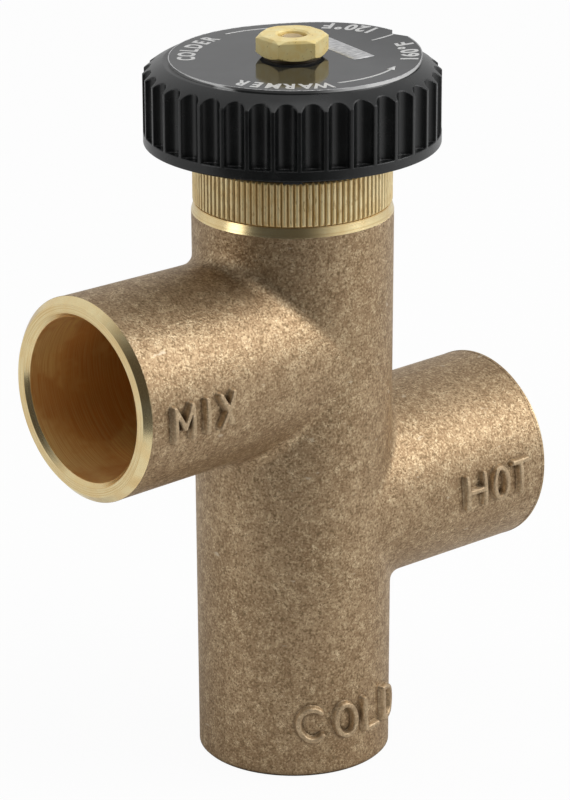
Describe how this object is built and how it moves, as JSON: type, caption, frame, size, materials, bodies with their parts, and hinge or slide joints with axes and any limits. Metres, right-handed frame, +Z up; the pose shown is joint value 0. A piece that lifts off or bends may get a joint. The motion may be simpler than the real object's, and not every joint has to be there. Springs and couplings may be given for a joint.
{
  "type": "thermostatic mixing valve",
  "caption": "Cast bronze thermostatic mixing valve with three solder sockets, a knurled bonnet and a fluted black temperature knob.",
  "frame": {"origin": "centre of the cold socket's mouth, at the foot of the column", "axes": "+Z up along the column and the spindle, out of the knob; +X out of the hot socket; -X out of the mixed water socket"},
  "size_m": [0.0723, 0.04, 0.1024],
  "materials": {
    "cast_bronze": "sand-cast bronze, tan-brown and grainy; machined bright at the mouths, in the sockets and at the top edge",
    "machined_brass": "turned and knurled brass",
    "nut_brass": "bright brass, slightly worn",
    "black_plastic": "glossy black moulded plastic",
    "printed_metal": "glossy black print on a bare metal disc",
    "stainless": "stainless steel",
    "seal_rubber": "black rubber"
  },
  "bodies": {
    "housing": {"valve_body": "cast_bronze", "bonnet": "machined_brass", "bonnet_seal": "seal_rubber", "stop_pin": "stainless", "seat_ring": "machined_brass", "seat_ring_seal": "seal_rubber", "return_spring": "stainless"},
    "thrust_stage": {"retaining_ring": "stainless", "overload_spring": "stainless"},
    "knob_assembly": {"spindle": "machined_brass", "spindle_seal_lower": "seal_rubber", "spindle_seal_upper": "seal_rubber", "knob": "black_plastic", "dial_plate": "printed_metal", "knob_nut": "nut_brass"},
    "pusher_assembly": {"pusher": "machined_brass", "thermostat_piston": "stainless"},
    "shuttle": {"shuttle_sleeve": "machined_brass", "shuttle_seal": "seal_rubber", "thermostat_element": "machined_brass", "valve_stem": "stainless", "cold_disc": "machined_brass", "cold_disc_washer": "seal_rubber"}
  },
  "joints": [
    {"name": "spindle_rise", "type": "slide", "parent": "housing", "child": "thrust_stage", "axis": [0, 0, 1], "range_m": [-0.00069, 0.00069], "deforming": ["return_spring"]},
    {"name": "knob_turn", "type": "hinge", "parent": "thrust_stage", "child": "knob_assembly", "pos_m": [0, 0, 0.09], "axis": [0, 0, 1], "range_deg": [-165, 165]},
    {"name": "overload_travel", "type": "slide", "parent": "thrust_stage", "child": "pusher_assembly", "axis": [0, 0, 1], "range_m": [0, 0.002], "stiffness_N_per_m": 4200, "springref_m": -0.002, "deforming": ["overload_spring"]},
    {"name": "thermostat_stroke", "type": "slide", "parent": "thrust_stage", "child": "shuttle", "axis": [0, 0, 1], "range_m": [-0.0014, 0], "stiffness_N_per_m": 4900, "springref_m": 0.0015, "deforming": ["return_spring"]}
  ],
  "couplings": [
    {"joint": "knob_turn", "follows": "spindle_rise", "rad_per_m": 4188.8}
  ]
}
